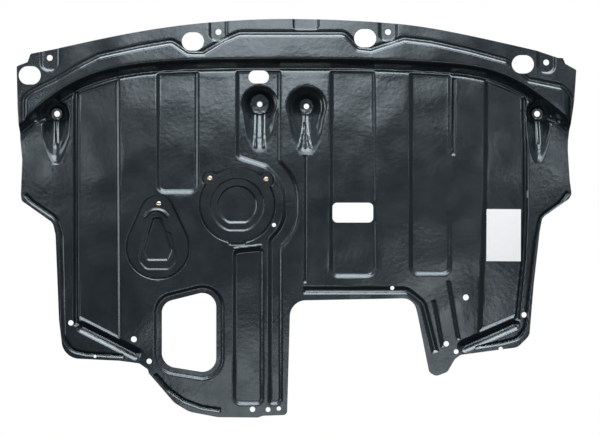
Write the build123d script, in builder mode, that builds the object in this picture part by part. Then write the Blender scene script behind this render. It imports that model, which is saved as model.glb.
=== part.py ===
"""Engine splash shield: one thermoformed plastic sheet, two screwed access covers, three screws, a paper label.

The part lies with its road side up, as it is pictured. X runs across the car, +Y points to its front and +Z
away from the engine. Millimetres. Every press form is made twice, for the seen face and for the under face one
sheet thickness below it, and the sheet is what lies between the two.
"""
import os
from math import acos, atan, atan2, cos, degrees, hypot, pi, radians, sin, tan

from build123d import *

# sheet and levels of its seen face above the floor
SHEET_T = 3.0
WELL_DEPTH = 34.0
PANEL_Z = SHEET_T + WELL_DEPTH
TERRACE_RISE = 24.0
TERRACE_Z = PANEL_Z + TERRACE_RISE
LIP_DROP = 5.0
LIP_Z = TERRACE_Z - LIP_DROP
GUTTER_DROP = 6.0
GUTTER_Z = PANEL_Z - GUTTER_DROP

# small bends are drawn as short flats of about this angle, plain holes and wells with this many sides, and the
# long curves of the front with this many steps
FLAT_ANGLE = 40.0
ROUND_ANGLE = 28.0
HOLE_SIDES = 8
WELL_SIDES = 16
COVER_SIDES = 32
WALL_STEPS = 24
EDGE_STEPS = 14

# blocks that stand for the mould, clear outside the outline
MOULD_REACH = 560.0
MOULD_FLOOR = -30.0

# front terrace: line of its wall from left to right, the gutter at its foot, and the section of its brow
# as steps forward and up from the foot
WALL_LINE = [(-560, 139), (-500, 188), (-436, 238), (-384, 264), (-272, 287), (-140, 293), (6, 294),
             (150, 292), (272, 286), (340, 278), (394, 261), (434, 239), (502, 186), (560, 139)]
WALL_BACK = 13.0
WALL_RUN = 8.5
BROW_RUNS = [6.0, 9.0]
BROW_DROPS = [10.0, 4.0]
GUTTER_WIDTH = 2.0
RIM_RUN = 4.0

# step between the front lip and the terrace, left to right
LIP_LINE = [(-501, 60), (-501, 222), (-486, 233), (-443, 254), (-402, 278), (-365, 297), (-291, 313),
            (-233, 323), (-203, 303), (-172, 302), (-133, 326), (-105, 338), (86, 338), (112, 311),
            (138, 308), (200, 328), (250, 322), (322, 306), (388, 288), (428, 252), (492, 239), (502, 226),
            (502, 60)]
LIP_BEND = 12.0
LIP_SLOPE = 45.0

# pads pressed round the four lip screws, open to the front edge
PAD_WIDTH = 34.0
PAD_DEPTH = 3.0
PAD_CORNER = 9.0
PAD_SLOPE = 60.0
PADS = [(-458.5, 275), (-145, 330), (170, 330), (464, 270)]
LIP_HOLE_D = 11.0
LIP_HOLES = [(-145, 346.5), (170, 346.5)]
OUTER_LIP_HOLES = [(-458.5, 298.5), (464, 290)]
NOTCH_X, NOTCH_Y = 17.5, 350.0
NOTCH_WIDTH = 48.0
NOTCH_DEPTH = 4.0

# oval holes
OVAL_X, OVAL_Y = 41.0, 34.0
OVAL_HOLES = [(-495.5, 266), (-192.5, 329), (127.5, 335), (420.5, 286.5)]
DRAIN_X, DRAIN_Y = 38.0, 24.0
DRAIN_AT = (-70.5, 264)

# fields pressed into the main panel between its lands
FIELD_DEPTH = 4.0
FIELD_SLOPE = 45.0
FIELD_CORNER = 9.0
FIELDS = [
    [(-410, 242), (-331, 263), (-328, -227), (-410, -185)],
    [(-260.5, 269), (-183, 271), (-183, 47.5), (-260.5, 47.5)],
    [(62.5, 270), (146, 269), (151, -88), (131, -109.5), (62.5, -109.5)],
    [(211, 267), (287.5, 264), (287.5, -105), (211, -105)],
    [(351, 253), (424, 224), (426, 90), (426.5, 10), (422.5, -78), (412, -182), (339, -213), (349, 34.5)],
]

# long channel from the front field past the round cover into the tail: x, y, bend
CHANNEL = [
    (-112.5, 271, 9), (-30, 271, 9), (-30, 118, 30), (-3, 78, 40), (5, 25, 60), (-6, -24, 40), (-27, -62, 30),
    (-27, -347, 12), (-52, -347, 6), (-52, -52, 20), (-32, -15, 40), (-26, 25, 50), (-32, 66, 20), (-58, 97, 10),
    (-112.5, 113, 14),
]

# screw wells: x and y of the axis, radii of the seat and of the rim, then the corners of the ramp behind the
# axis as half width and distance, at the rim and at the seat
FUNNELS = [
    (-69, 214, 17.5, 33, [(31, 12), (24, 58), (15, 79), (7, 88)], [(14, 6), (10, 13), (6, 15.5), (3, 16.5)]),
    (18.5, 210, 13, 34, [(32, 12), (25, 54), (15, 75), (7, 84)], [(10.5, 5), (8, 9), (5, 11), (2.5, 12)]),
]
WING_WELLS = [
    (-448.5, 196, 11, 24, [(24.5, 8), (23, 42), (15, 74), (5, 95)], [(9, 4), (6, 8), (4, 9.5), (2, 10)]),
    (450.5, 196, 11, 23, [(22.5, 8), (21, 36), (13, 66), (4, 86)], [(9, 4), (6, 8), (4, 9.5), (2, 10)]),
]
WELL_HOLE_D = 10.0
WING_HOLE_D = 11.0
GULLY_DEPTH = 14.0
GULLY_SLOPE = 60.0
GULLY_END = 0.55
GULLIES = [
    [(-492, 176), (-472, 178), (-446, 186), (-444, 206), (-458, 203)],
    [(491, 175), (474, 177), (448, 182), (446, 202), (460, 201)],
]

# grooves: centre line, width at the top
GROOVE_DEPTH = 4.5
GROOVE_SLOPE = 60.0
BEAD_WIDTH = 8.0
GROOVE_BEND = 24.0
GROOVES = [
    (8.0, [(293, 262), (292, 118)]),
    (BEAD_WIDTH, [(-506, 46), (-494, 32), (-447, 0), (-438, -32), (-434, -222), (-418, -246), (-392, -252),
                  (-322, -256)]),
    (BEAD_WIDTH, [(507, 50), (490, 28), (455, 3), (446, -40), (434, -140), (427, -204), (412, -224),
                  (386, -231), (332, -240)]),
    (13.0, [(12, -134), (206, -134), (236, -158), (259, -250)]),
    (7.0, [(256, -152), (272.5, -240)]),
    (7.0, [(283, -116), (302, -226)]),
    (7.0, [(16, 118), (16, -120)]),
    (8.0, [(-264, -290), (-240, -318), (-210, -339), (-176, -352), (-142, -357)]),
]

# deeper channels along the two outer fields
CHANNEL_DEPTH = 7.0
CHANNEL_WIDTH = 12.0
SIDE_CHANNELS = [
    [(-410, 238), (-410, -200)],
    [(424, 226), (426, 90), (426.5, 10), (422.5, -78), (411, -190)],
]

# drains along the rear corners of the panel
CORNER_DEPTH = 12.0
CORNER_SLOPE = 52.0
CORNER_WIDTH = 23.0
CORNERS = [
    [(-408, -197), (-290, -257)],
    [(415, -193), (302, -243)],
]

# tail
TAIL_FIELD = [(-118, -60), (-62, -54), (-62, -347), (-118, -347)]

# openings
WINDOW = [(-251, -157, 24), (-149.7, -131.6, 26), (-149.7, -290.3, 26), (-251, -274, 28)]
WINDOW_BORDER = 14.0
WINDOW_STEP = 3.0
SLOT_X, SLOT_Y = 76.0, 37.0
SLOT_AT = (105, 11)
SLOT_CORNER = 9.0

# small holes: x, y, diameter
SMALL_HOLES = [
    (-42, -12, 7.5), (178.5, -129.5, 7.5), (-420.5, -194.5, 10), (-303, -225, 11), (-274.5, -266, 10),
    (-375.5, -257, 5.5), (315.5, -147, 11), (424, -179.5, 10), (279, -233.5, 10), (297.5, -248, 9),
    (-82, -355.5, 10), (-53, -356, 9), (-33, -354, 8), (380.5, -243, 8),
]

# access covers
COVER_T = 2.5
COVER_GAP = 1.5
SEAT_LEDGE = 8.5
ROUND_AT = (-110.5, 25)
ROUND_R = 67.5
EAR_R = 11.0
EARS = [(-50.5, 49.5), (54, 47.5)]
TAB_WIDTH = 26.0
TAB_REACH = 3.0
ROUND_DISH = [(50.5, 48.0, 1.6), (38.5, 35.0, 4.0)]
DISH_SIDES = 22
TEAR_TOP = (-259.5, 11)
TEAR_TOP_R = 29.0
TEAR_LOW = (-258.5, -54)
TEAR_LOW_R = 56.0
TEAR_SCREW = (-256.5, 27)
TEAR_OPEN = (-259, -13)
TEAR_OPEN_R = 19.0
TEAR_DISH = [
    (1.4, [(-287, -30), (-231, -30), (-225, -80), (-236, -94), (-280, -94), (-293, -80)]),
    (3.0, [(-267, 1), (-253, 1), (-230.5, -58), (-237, -79), (-280, -79), (-286, -58)]),
]
TEAR_BEND = 6.0
DISH_SLOPE = 55.0
ARCH_LINE = [(-280, 5), (-272, 13.5), (-249, 14), (-241, 6)]
ARCH_WIDTH = 6.0
ARCH_RISE = 1.8

# screws
SCREW_HEAD_D = 10.0
SCREW_HEAD_H = 2.4
SCREW_D = 4.8
SCREW_LENGTH = 13.0
SCREW_PLAY = 0.3

# paper label on the right-hand field
LABEL_X, LABEL_Y = 64.0, 97.0
LABEL_T = 0.4
LABEL_AT = (386, -31)
LABEL_TURN = -0.3

# outline, clockwise from the right end of the front edge: x, y, corner radius
FRONT_EDGE = [(-445.5, 315.5), (-272.5, 350.5), (-140, 366), (6.5, 370.7), (120, 366.5), (207.5, 359.5),
              (322.5, 339.5), (447.5, 311.5)]
SIDES = [
    (486, 298.5, 6), (495, 298, 3), (499, 287.5, 4), (519.8, 276, 4), (516, 220, 60), (506, 146, 20),
    (505.5, 127, 15), (509, 72, 30), (512.5, 45, 8), (507, 36, 12), (458, 1, 12), (453, -25, 30),
    (442, -122, 80), (434, -218, 20), (412, -240, 20), (306, -254, 15), (295, -262, 10), (281, -286, 12),
    (259.5, -294, 12), (247, -286, 10), (225.5, -178, 60), (218, -148.5, 26), (-11.5, -153, 30),
    (-17.5, -366, 8), (-62, -367.5, 4), (-72, -370.8, 4), (-146, -370.3, 90), (-200, -360, 50), (-228, -343, 40),
    (-275.5, -288, 6), (-277, -281, 5), (-293, -270, 8), (-330, -265, 60), (-434, -260, 34), (-442.5, -189, 80),
    (-449, -30, 60), (-454, -8, 18), (-512, 33, 8), (-513.5, 44, 8), (-511, 110, 60), (-514.5, 146, 40),
    (-518, 205.5, 80), (-519.8, 283, 4), (-499.5, 290.5, 5), (-494, 306, 5),
]


def lean(slope):
    """Sideways shift of the under face where the sheet leans at a slope, so that its thickness stays the same."""
    return tan(radians(slope) / 2)


def shifted(points, distance):
    """The points of a line moved to its left."""
    moved = []
    for i, (x, y) in enumerate(points):
        ax, ay = points[max(i - 1, 0)]
        bx, by = points[min(i + 1, len(points) - 1)]
        length = hypot(bx - ax, by - ay)
        moved.append((x - (by - ay) / length * distance, y + (bx - ax) / length * distance))
    return moved


def smooth(points, steps):
    """Points at even steps along a smooth line through the given ones."""
    with BuildLine() as line:
        edge = Spline(*points)
    places = [edge @ (i / steps) for i in range(steps + 1)]
    return [(place.X, place.Y) for place in places]


def rounded(points, bends, angle=FLAT_ANGLE):
    """The corner points of a closed ring, with every bend given as short flats of about one angle."""
    if isinstance(bends, float):
        bends = [bends] * len(points)
    ring = []
    for i, (x, y) in enumerate(points):
        (ax, ay), (bx, by) = points[i - 1], points[(i + 1) % len(points)]
        a, b = hypot(x - ax, y - ay), hypot(bx - x, by - y)
        mx, my, nx, ny = (x - ax) / a, (y - ay) / a, (bx - x) / b, (by - y) / b
        turn = acos(max(-1.0, min(1.0, mx * nx + my * ny)))
        flats = round(turn / radians(angle))
        if bends[i] == 0 or flats < 1:
            ring.append((x, y))
            continue
        reach = bends[i] * tan(turn / 2)
        step = turn / flats
        part = bends[i] * tan(step / 2)
        px, py, bent = x - mx * reach, y - my * reach, 0.0
        side = 1 if mx * ny - my * nx > 0 else -1
        length = part
        for _ in range(flats):
            dx = mx * cos(bent) - side * my * sin(bent)
            dy = my * cos(bent) + side * mx * sin(bent)
            px, py = px + dx * length, py + dy * length
            ring.append((px, py))
            bent, length = bent + step, 2 * part
    return ring


def grown(points, amount):
    """A closed ring of corner points with every side moved outward by an amount."""
    around = list(zip(points, points[1:] + points[:1]))
    turn = 1 if sum(ax * by - bx * ay for (ax, ay), (bx, by) in around) > 0 else -1
    normals = []
    for (ax, ay), (bx, by) in around:
        length = hypot(bx - ax, by - ay)
        normals.append((turn * (by - ay) / length, turn * (ax - bx) / length))
    ring = []
    for i, (x, y) in enumerate(points):
        (mx, my), (nx, ny) = normals[i - 1], normals[i]
        reach = amount / (1 + mx * nx + my * ny)
        ring.append((x + (mx + nx) * reach, y + (my + ny) * reach))
    return ring


def ring_face(points, amount=0.0):
    """A face inside a ring of corner points, grown by an amount."""
    with BuildSketch() as face:
        with BuildLine():
            Polyline(*grown(points, amount), close=True)
        make_face()
    return face.sketch


def strip(points, width, bend=0.0):
    """Corner points and bend radii of a strip of one width along a bent line."""
    half = width / 2
    ends = [(2 * points[0][0] - points[1][0], 2 * points[0][1] - points[1][1]),
            (2 * points[-1][0] - points[-2][0], 2 * points[-1][1] - points[-2][1])]
    line = [ends[0]] + points + [ends[1]]
    sides = {1: [], -1: []}
    bends = {1: [], -1: []}
    for i in range(1, len(line) - 1):
        (ax, ay), (x, y), (bx, by) = line[i - 1:i + 2]
        a, b = hypot(x - ax, y - ay), hypot(bx - x, by - y)
        mx, my, nx, ny = (ay - y) / a, (x - ax) / a, (y - by) / b, (bx - x) / b
        reach = half / (1 + mx * nx + my * ny)
        left_turn = mx * ny - my * nx > 0
        for side in sides:
            sides[side].append((x + side * (mx + nx) * reach, y + side * (my + ny) * reach))
            inner = left_turn == (side == 1)
            sharp = bend == 0 or i in (1, len(line) - 2)
            bends[side].append(0.0 if sharp else bend + (-half if inner else half))
    return sides[1] + sides[-1][::-1], bends[1] + bends[-1][::-1]


def section_shift(points, amount):
    """A section of the sheet's seen face from its foot upward, moved inward by an amount square to itself."""
    ends = [(points[0][0] - 1, points[0][1])] + points + [(points[-1][0] + 1, points[-1][1])]
    moved = []
    for i in range(1, len(ends) - 1):
        (ax, ay), (x, y), (bx, by) = ends[i - 1:i + 2]
        a, b = hypot(x - ax, y - ay), hypot(bx - x, by - y)
        mx, my, nx, ny = (y - ay) / a, (ax - x) / a, (by - y) / b, (x - bx) / b
        reach = amount / (1 + mx * nx + my * ny)
        moved.append((x + (mx + nx) * reach, y + (my + ny) * reach))
    return moved


def front_field(points, front):
    """The face between a line from left to right and a straight edge at the front or the rear."""
    with BuildSketch() as face:
        with BuildLine():
            Polyline(*points, (points[-1][0], front), (points[0][0], front), close=True)
        make_face()
    return face.sketch


def oval_face(places, length, width):
    """Oval holes of one size."""
    with BuildSketch() as face:
        for x, y in places:
            ring = [(x + length / 2, y + width / 2), (x - length / 2, y + width / 2),
                    (x - length / 2, y - width / 2), (x + length / 2, y - width / 2)]
            add(ring_face(rounded(ring, 0.499 * width, ROUND_ANGLE)))
    return face.sketch


def window_ring():
    """The ring of the rear window."""
    return rounded([(x, y) for x, y, r in WINDOW], [float(r) for x, y, r in WINDOW])


def round_cover_plan(gap):
    """Plan of the round cover with its ears and tab, grown by a gap."""
    with BuildSketch() as face:
        with Locations(ROUND_AT):
            RegularPolygon(ROUND_R + gap, COVER_SIDES)
            with Locations(*EARS):
                RegularPolygon(EAR_R + gap, WELL_SIDES)
            with Locations((0, -(ROUND_R + gap) / 2)):
                Rectangle(TAB_WIDTH + 2 * gap, ROUND_R + gap + 2 * TAB_REACH)
    return face.sketch


def egg_face(top, top_r, low, low_r):
    """The face round two circles, with straight sides between them."""
    length, tilt = hypot(low[0] - top[0], low[1] - top[1]), atan2(top[1] - low[1], top[0] - low[0])
    part = acos((low_r - top_r) / length)
    ring = []
    for centre, radius, start, span in ((top, top_r, part, 2 * part), (low, low_r, -part, 2 * (pi - part))):
        count = max(3, round(span / (2 * pi) * COVER_SIDES))
        for i in range(count + 1):
            angle = tilt + start - span * i / count
            ring.append((centre[0] + radius * cos(angle), centre[1] + radius * sin(angle)))
    return ring_face(ring)


def teardrop_plan(gap):
    """Plan of the teardrop cover, grown by a gap."""
    return egg_face(TEAR_TOP, TEAR_TOP_R + gap, TEAR_LOW, TEAR_LOW_R + gap)


def opening_plan():
    """The opening under the teardrop cover."""
    return egg_face(TEAR_OPEN, TEAR_OPEN_R, TEAR_LOW, TEAR_LOW_R - SEAT_LEDGE)


def dish_ring(radius, chord):
    """The ring of a round dish with a flat rear side and slanted corners."""
    start = -acos(chord / radius) / 2 - pi / 2
    span = 2 * pi - acos(chord / radius)
    ring = []
    for i in range(DISH_SIDES):
        angle = start - span * i / (DISH_SIDES - 1)
        ring.append((ROUND_AT[0] + radius * cos(angle), max(ROUND_AT[1] + radius * sin(angle), ROUND_AT[1] - chord)))
    return ring


def pressed(points, bends, level, depth, slope, skin, headroom=0.0):
    """The tool that presses a ring down from a level, for the seen face or for the face a skin below it."""
    grow = skin * lean(slope)
    ring = rounded(points, bends)
    with BuildPart() as tool:
        with BuildSketch(Plane.XY.offset(level - skin)) as top:
            add(ring_face(ring, grow))
        with BuildSketch(Plane.XY.offset(level - skin - depth)):
            add(ring_face(ring, grow - depth / tan(radians(slope))))
        loft(ruled=True)
        if headroom > 0:
            extrude(top.sketch, amount=headroom)
    return tool.part


def dish_tools(skin):
    """The tools of the two steps of the round dish."""
    return [pressed(dish_ring(radius, chord), 0.0, PANEL_Z, depth, DISH_SLOPE, skin)
            for radius, chord, depth in ROUND_DISH]


def sunk(plan, depth, skin):
    """The tool that presses the seat of a cover into the panel with upright walls."""
    with BuildPart() as tool:
        with BuildSketch(Plane.XY.offset(PANEL_Z - skin)):
            add(plan)
        extrude(amount=-depth)
    return tool.part


def well_tool(well, skin):
    """The tool of one screw well: a round funnel and the ramp that rises from its seat to the rear."""
    x, y, seat_r, rim_r, rim_ramp, seat_ramp = well
    slope = degrees(atan(WELL_DEPTH / (rim_r - seat_r)))
    with BuildPart() as ramp:
        for level, half in ((PANEL_Z, rim_ramp), (PANEL_Z - WELL_DEPTH, seat_ramp)):
            ring = [(x - w, y - back) for w, back in half] + [(x + w, y - back) for w, back in half[::-1]]
            with BuildSketch(Plane.XY.offset(level - skin)):
                add(ring_face(ring, skin * lean(RAMP_SLOPE)))
        loft(ruled=True)
    with BuildPart() as tool:
        with BuildSketch(Plane.XY.offset(PANEL_Z - skin)) as rim:
            with Locations((x, y)):
                RegularPolygon(rim_r + skin * lean(slope), WELL_SIDES)
        with BuildSketch(Plane.XY.offset(PANEL_Z - skin - WELL_DEPTH)):
            with Locations((x, y)):
                RegularPolygon(seat_r + skin * lean(slope), WELL_SIDES)
        loft(ruled=True)
        extrude(rim.sketch, amount=2 * SHEET_T)
        add(ramp.part)
    return tool.part


def gully_tool(points, seat, skin):
    """The tool of the gully that runs from a wing well along the foot of the terrace wall."""
    low = [(x + (seat[0] - x) * GULLY_END, y + (seat[1] - y) * GULLY_END) for x, y in points]
    with BuildPart() as tool:
        for level, ring in ((PANEL_Z, points), (PANEL_Z - GULLY_DEPTH, low)):
            with BuildSketch(Plane.XY.offset(level - skin)):
                add(ring_face(ring, skin * lean(GULLY_SLOPE)))
        loft(ruled=True)
    return tool.part


RAMP_SLOPE = 45.0
RIM_SLOPE = degrees(atan(GUTTER_DROP / RIM_RUN))


def forming_block(skin):
    """Everything under the seen face, or under the face one skin below it."""
    with BuildPart() as base:
        with BuildSketch(Plane.XY.offset(MOULD_FLOOR)):
            Rectangle(2 * MOULD_REACH, 2 * MOULD_REACH)
        extrude(amount=GUTTER_Z - skin - MOULD_FLOOR)

    # main panel behind the gutter
    foot = GUTTER_WIDTH + WALL_BACK
    wall = smooth(WALL_LINE, WALL_STEPS)
    low_rim = shifted(wall, -foot - skin * lean(RIM_SLOPE))
    high_rim = shifted(wall, -foot - RIM_RUN - skin * lean(RIM_SLOPE))
    with BuildPart() as panel:
        with BuildSketch(Plane.XY.offset(GUTTER_Z - skin)):
            add(front_field(low_rim, -MOULD_REACH))
        with BuildSketch(Plane.XY.offset(PANEL_Z - skin)):
            add(front_field(high_rim, -MOULD_REACH))
        loft(ruled=True)

    # front terrace, from the foot of its wall over the brow
    section = [(0.0, GUTTER_Z), (WALL_RUN, TERRACE_Z - BROW_DROPS[0]),
               (WALL_RUN + BROW_RUNS[0], TERRACE_Z - BROW_DROPS[1]), (WALL_RUN + sum(BROW_RUNS), TERRACE_Z)]
    with BuildPart() as terrace:
        for run, level in section_shift(section, skin):
            with BuildSketch(Plane.XY.offset(level)):
                add(front_field(shifted(wall, run - WALL_BACK), MOULD_REACH))
        loft(ruled=True)

    # lip in front of the terrace, with its pads and notch
    lip = LIP_LINE + [(MOULD_REACH, LIP_LINE[-1][1]), (MOULD_REACH, MOULD_REACH), (-MOULD_REACH, MOULD_REACH),
                      (-MOULD_REACH, LIP_LINE[0][1])]
    lip_bends = [0.0] + [LIP_BEND] * (len(LIP_LINE) - 2) + [0.0] * 5
    tools = [pressed(lip, lip_bends, TERRACE_Z, LIP_DROP, LIP_SLOPE, skin)]
    recesses = [(x, y, PAD_WIDTH, PAD_DEPTH) for x, y in PADS] + [(NOTCH_X, NOTCH_Y, NOTCH_WIDTH, NOTCH_DEPTH)]
    for x, y, width, depth in recesses:
        recess = [(x - width / 2, MOULD_REACH), (x - width / 2, y), (x + width / 2, y), (x + width / 2, MOULD_REACH)]
        tools.append(pressed(recess, [0.0, PAD_CORNER, PAD_CORNER, 0.0], LIP_Z, depth, PAD_SLOPE, skin, LIP_DROP))

    # fields, grooves, drains and wells of the panel
    for points in FIELDS + [TAIL_FIELD]:
        tools.append(pressed(points, FIELD_CORNER, PANEL_Z, FIELD_DEPTH, FIELD_SLOPE, skin))
    tools.append(pressed([(x, y) for x, y, r in CHANNEL], [float(r) for x, y, r in CHANNEL], PANEL_Z, FIELD_DEPTH,
                         FIELD_SLOPE, skin))
    for width, points in GROOVES:
        tools.append(pressed(*strip(points, width, GROOVE_BEND), PANEL_Z, GROOVE_DEPTH, GROOVE_SLOPE, skin))
    for points in SIDE_CHANNELS:
        tools.append(pressed(*strip(points, CHANNEL_WIDTH), PANEL_Z, CHANNEL_DEPTH, GROOVE_SLOPE, skin))
    for points in CORNERS:
        tools.append(pressed(*strip(points, CORNER_WIDTH), PANEL_Z, CORNER_DEPTH, CORNER_SLOPE, skin))
    for well in FUNNELS + WING_WELLS:
        tools.append(well_tool(well, skin))
    for points, well in zip(GULLIES, WING_WELLS):
        tools.append(gully_tool(points, well[:2], skin))

    # border of the window and seats of the two covers
    border = grown(window_ring(), WINDOW_BORDER)
    tools.append(pressed(border, 0.0, PANEL_Z, WINDOW_STEP, FIELD_SLOPE, skin))
    tools.append(sunk(round_cover_plan(COVER_GAP + skin), COVER_T, skin))
    tools.append(sunk(teardrop_plan(COVER_GAP + skin), COVER_T, skin))

    with BuildPart() as block:
        add(base.part)
        add(panel.part)
        add(terrace.part)
        add(tools, mode=Mode.SUBTRACT)
    return block.part


with BuildPart() as shield:
    with BuildSketch(Plane.XY.offset(-1)) as outline:
        front = smooth(FRONT_EDGE, EDGE_STEPS)
        corners = front + [(x, y) for x, y, r in SIDES]
        add(ring_face(rounded(corners, [0.0] * len(front) + [float(r) for x, y, r in SIDES], ROUND_ANGLE)))
    extrude(amount=TERRACE_Z + 5)
    add(forming_block(0.0), mode=Mode.INTERSECT)
    add(forming_block(SHEET_T), mode=Mode.SUBTRACT)

    # everything that is cut through the sheet
    with BuildSketch(Plane.XY.offset(-2)) as cuts:
        add(oval_face(OVAL_HOLES, OVAL_X, OVAL_Y))
        add(oval_face([DRAIN_AT], DRAIN_X, DRAIN_Y))
        with Locations(*LIP_HOLES):
            Circle(LIP_HOLE_D / 2)
        with Locations(*OUTER_LIP_HOLES):
            RegularPolygon(LIP_HOLE_D / 2, HOLE_SIDES)
        with Locations(*[well[:2] for well in FUNNELS]):
            RegularPolygon(WELL_HOLE_D / 2, HOLE_SIDES)
        with Locations(*[well[:2] for well in WING_WELLS]):
            Circle(WING_HOLE_D / 2)
        for x, y, diameter in SMALL_HOLES:
            with Locations((x, y)):
                RegularPolygon(diameter / 2, HOLE_SIDES)
        slot = [(SLOT_AT[0] + x * SLOT_X / 2, SLOT_AT[1] + y * SLOT_Y / 2)
                for x, y in ((1, 1), (-1, 1), (-1, -1), (1, -1))]
        add(ring_face(rounded(slot, SLOT_CORNER)))
        add(ring_face(window_ring()))
        with Locations(ROUND_AT):
            RegularPolygon(ROUND_R - SEAT_LEDGE, COVER_SIDES)
            with Locations(*EARS):
                RegularPolygon((SCREW_D + SCREW_PLAY) / 2, HOLE_SIDES)
        with Locations(TEAR_SCREW):
            RegularPolygon((SCREW_D + SCREW_PLAY) / 2, HOLE_SIDES)
        add(opening_plan())
    extrude(amount=TERRACE_Z + 10, mode=Mode.SUBTRACT)
shield.part.label = "shield"

# round cover: a flat rim with two ears and a tab, and a dish in two steps with a flat rear side
with BuildPart() as round_access_cover:
    with BuildSketch(Plane.XY.offset(PANEL_Z - COVER_T)):
        add(round_cover_plan(0.0))
    extrude(amount=COVER_T)
    add(dish_tools(COVER_T))
    add(dish_tools(0.0), mode=Mode.SUBTRACT)
    with BuildSketch(Plane.XY.offset(PANEL_Z)):
        with Locations(ROUND_AT):
            with Locations(*EARS):
                RegularPolygon((SCREW_D + SCREW_PLAY) / 2, HOLE_SIDES)
    extrude(amount=-2 * COVER_T, mode=Mode.SUBTRACT)
round_access_cover.part.label = "round_access_cover"

# teardrop cover: a flat rim with one screw hole, a stepped dish and an arched bead above it
with BuildPart() as teardrop_access_cover:
    with BuildSketch(Plane.XY.offset(PANEL_Z - COVER_T)):
        add(teardrop_plan(0.0))
    extrude(amount=COVER_T)
    for depth, points in TEAR_DISH:
        add(pressed(points, TEAR_BEND, PANEL_Z, depth, DISH_SLOPE, COVER_T))
    for depth, points in TEAR_DISH:
        add(pressed(points, TEAR_BEND, PANEL_Z, depth, DISH_SLOPE, 0.0), mode=Mode.SUBTRACT)
    with BuildSketch(Plane.XY.offset(PANEL_Z - COVER_T / 2)):
        add(ring_face(rounded(*strip(ARCH_LINE, ARCH_WIDTH, TEAR_BEND))))
    extrude(amount=COVER_T / 2 + ARCH_RISE)
    with BuildSketch(Plane.XY.offset(PANEL_Z)):
        with Locations(TEAR_SCREW):
            RegularPolygon((SCREW_D + SCREW_PLAY) / 2, HOLE_SIDES)
    extrude(amount=-2 * COVER_T, mode=Mode.SUBTRACT)
teardrop_access_cover.part.label = "teardrop_access_cover"

# one screw with a low round head, then its three places
with BuildPart() as screw:
    with BuildSketch():
        RegularPolygon(SCREW_D / 2, HOLE_SIDES)
    extrude(amount=-SCREW_LENGTH)
    with BuildSketch():
        RegularPolygon(SCREW_HEAD_D / 2, WELL_SIDES)
    extrude(amount=SCREW_HEAD_H)
    chamfer(screw.edges().group_by(Axis.Z)[-1], length=1.0)

left_ear, right_ear = [(ROUND_AT[0] + x, ROUND_AT[1] + y) for x, y in EARS]
screw_left_ear = Pos(left_ear[0], left_ear[1], PANEL_Z) * screw.part
screw_left_ear.label = "screw_left_ear"
screw_right_ear = Pos(right_ear[0], right_ear[1], PANEL_Z) * screw.part
screw_right_ear.label = "screw_right_ear"
screw_teardrop = Pos(TEAR_SCREW[0], TEAR_SCREW[1], PANEL_Z) * screw.part
screw_teardrop.label = "screw_teardrop"

# label, stuck on the floor of the right-hand field
with BuildPart() as paper_label:
    with BuildSketch(Plane.XY.offset(PANEL_Z - FIELD_DEPTH)):
        with Locations(Location((LABEL_AT[0], LABEL_AT[1], 0), (0, 0, LABEL_TURN))):
            Rectangle(LABEL_X, LABEL_Y)
    extrude(amount=LABEL_T)
paper_label.part.label = "paper_label"

os.makedirs("parts", exist_ok=True)
export_step(shield.part, "parts/shield.step")
export_step(round_access_cover.part, "parts/round_access_cover.step")
export_step(teardrop_access_cover.part, "parts/teardrop_access_cover.step")
export_step(screw_left_ear, "parts/screw_left_ear.step")
export_step(screw_right_ear, "parts/screw_right_ear.step")
export_step(screw_teardrop, "parts/screw_teardrop.step")
export_step(paper_label.part, "parts/paper_label.step")
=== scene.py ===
"""Engine splash shield: the visual model, laid out as an add-on that runs as a script.

Every formed piece is one sheet, described by its height above the floor at each place, as the press leaves
it. The same description with a skin thickness gives its under face. The tables are in millimetres, Blender is
in metres.
"""
from math import acos, atan, atan2, cos, degrees, hypot, pi, radians, sin, tan

import bpy
import numpy as np
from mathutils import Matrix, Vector
from mathutils.geometry import delaunay_2d_cdt


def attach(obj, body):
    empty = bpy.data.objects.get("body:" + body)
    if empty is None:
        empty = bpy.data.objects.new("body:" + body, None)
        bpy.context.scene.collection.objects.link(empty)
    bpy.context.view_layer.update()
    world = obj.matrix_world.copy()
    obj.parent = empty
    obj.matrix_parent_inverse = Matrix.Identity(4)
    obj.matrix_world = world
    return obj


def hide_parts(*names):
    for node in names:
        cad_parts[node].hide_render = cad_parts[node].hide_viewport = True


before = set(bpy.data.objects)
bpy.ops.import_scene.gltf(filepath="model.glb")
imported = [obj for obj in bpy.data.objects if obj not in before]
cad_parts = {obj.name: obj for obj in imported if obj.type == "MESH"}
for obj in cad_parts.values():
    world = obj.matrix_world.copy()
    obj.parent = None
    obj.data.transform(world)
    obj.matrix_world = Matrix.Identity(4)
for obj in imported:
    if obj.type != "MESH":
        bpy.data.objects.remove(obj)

bl_info = {
    "name": "Engine splash shield",
    "version": (1, 0, 0),
    "blender": (4, 5, 0),
    "location": "3D View > Sidebar > Shield",
    "description": "Builds a pressed plastic splash shield with its covers, screws, label and studio",
    "category": "Object",
}

MM = 0.001

# levels of the seen face above the floor, and how deep the forms go
PANEL_Z = 37.0
TERRACE_Z = 61.0
LIP_Z = 56.0
WELL_DEPTH = 34.0
GULLY_DEPTH = 14.0
FIELD_DEPTH = 4.0
GROOVE_DEPTH = 4.5
SIDE_CHANNEL_DEPTH = 7.0
CORNER_DEPTH = 12.0
BORDER_DEPTH = 3.0
SEAT_DEPTH = 2.5
# a place past the shield's ends, where rings that are open there are closed
FAR = 560.0

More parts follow.
